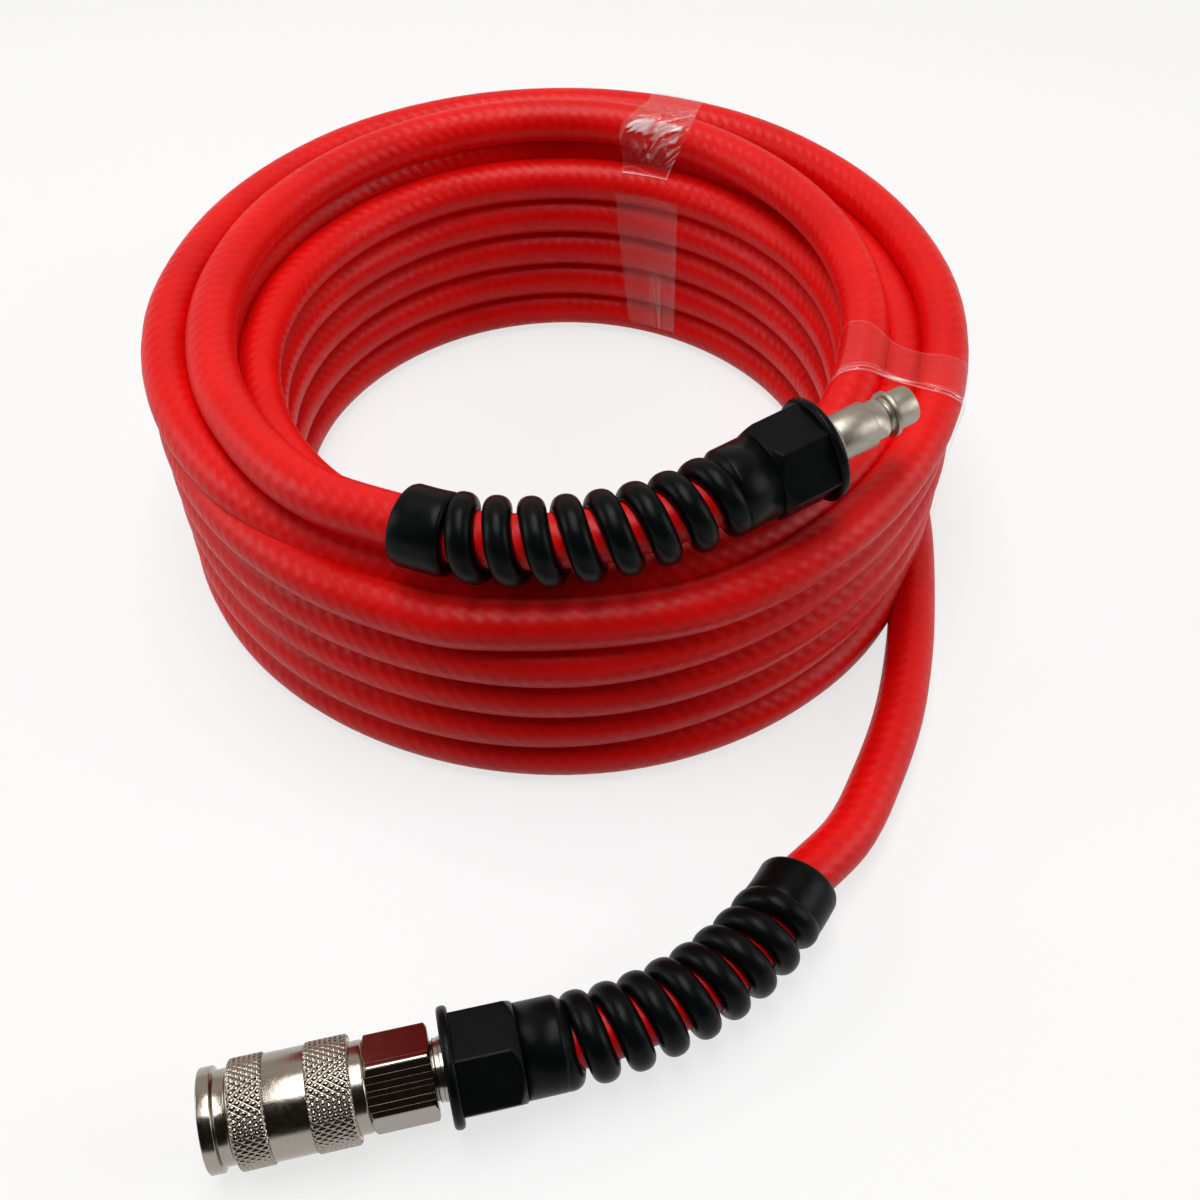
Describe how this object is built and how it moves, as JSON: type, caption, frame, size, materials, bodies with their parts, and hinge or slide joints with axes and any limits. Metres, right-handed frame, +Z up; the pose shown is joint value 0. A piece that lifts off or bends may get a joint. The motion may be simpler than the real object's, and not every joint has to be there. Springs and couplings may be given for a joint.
{
  "type": "coiled compressed-air hose",
  "caption": "Coiled compressed-air hose with a plug nipple on one end and a sleeve-operated quick coupler on the other, each behind a spiral bend guard.",
  "frame": {"origin": "on the floor, under the middle of the overall box of coil and loose end", "axes": "+Z up out of the coil, +X to the right along the coupler, +Y away from the loose end"},
  "size_m": [0.2346, 0.3396, 0.1006],
  "materials": {
    "hose_red": "satin red, fine embossed criss-cross braid",
    "guard_black": "satin black, moulded",
    "nickel": "nickel plated, fine turning marks",
    "steel": "bright steel",
    "seal_black": "matt",
    "tape": "clear packing tape"
  },
  "bodies": {
    "hose": {"hose_coil": "hose_red", "hose_inner_turn": "hose_red", "hose_mid_turn": "hose_red", "hose_outer_turn": "hose_red", "hose_bottom_turn": "hose_red", "hose_top_inner": "hose_red", "hose_top_outer": "hose_red", "hose_tail": "hose_red", "hose_plug_end": "hose_red", "hose_coupler_end": "hose_red", "plug_nipple": "nickel", "plug_ferrule": "steel", "plug_guard": "guard_black", "coupler_stem": "nickel", "coupler_ferrule": "steel", "coupler_guard": "guard_black", "coupler_rear_body": "nickel", "coupler_front_body": "nickel", "sleeve_spring": "steel", "sleeve_stop_ring": "steel", "valve_spring": "steel", "plug_seal": "seal_black", "tape_back_inner": "tape", "tape_back_top": "tape", "tape_right": "tape"},
    "sleeve": {"coupler_sleeve": "nickel"},
    "valve": {"valve_poppet": "steel", "valve_ring": "seal_black"},
    "lock_ball_1": {"ball_1": "steel"},
    "lock_ball_2": {"ball_2": "steel"},
    "lock_ball_3": {"ball_3": "steel"},
    "lock_ball_4": {"ball_4": "steel"},
    "lock_ball_5": {"ball_5": "steel"},
    "lock_ball_6": {"ball_6": "steel"}
  },
  "joints": [
    {"name": "sleeve_slide", "type": "slide", "parent": "hose", "child": "sleeve", "axis": [0.9744, 0.225, 0], "range_m": [0, 0.0025], "stiffness_N_per_m": 1500, "springref_m": -0.003, "deforming": ["sleeve_spring"]},
    {"name": "valve_slide", "type": "slide", "parent": "hose", "child": "valve", "axis": [0.9744, 0.225, 0], "range_m": [0, 0.0038], "stiffness_N_per_m": 600, "springref_m": -0.004, "deforming": ["valve_spring"]},
    {"name": "ball_1_slide", "type": "slide", "parent": "hose", "child": "lock_ball_1", "axis": [-0.1948, 0.8438, -0.5], "range_m": [0, 0.001]},
    {"name": "ball_2_slide", "type": "slide", "parent": "hose", "child": "lock_ball_2", "axis": [-0.1948, 0.8438, 0.5], "range_m": [0, 0.001]},
    {"name": "ball_3_slide", "type": "slide", "parent": "hose", "child": "lock_ball_3", "axis": [0, 0, 1], "range_m": [0, 0.001]},
    {"name": "ball_4_slide", "type": "slide", "parent": "hose", "child": "lock_ball_4", "axis": [0.1948, -0.8438, 0.5], "range_m": [0, 0.001]},
    {"name": "ball_5_slide", "type": "slide", "parent": "hose", "child": "lock_ball_5", "axis": [0.1948, -0.8438, -0.5], "range_m": [0, 0.001]},
    {"name": "ball_6_slide", "type": "slide", "parent": "hose", "child": "lock_ball_6", "axis": [0, 0, -1], "range_m": [0, 0.001]}
  ],
  "couplings": [
    {"joint": "ball_1_slide", "follows": "sleeve_slide", "ratio": 0.4},
    {"joint": "ball_2_slide", "follows": "sleeve_slide", "ratio": 0.4},
    {"joint": "ball_3_slide", "follows": "sleeve_slide", "ratio": 0.4},
    {"joint": "ball_4_slide", "follows": "sleeve_slide", "ratio": 0.4},
    {"joint": "ball_5_slide", "follows": "sleeve_slide", "ratio": 0.4},
    {"joint": "ball_6_slide", "follows": "sleeve_slide", "ratio": 0.4}
  ]
}
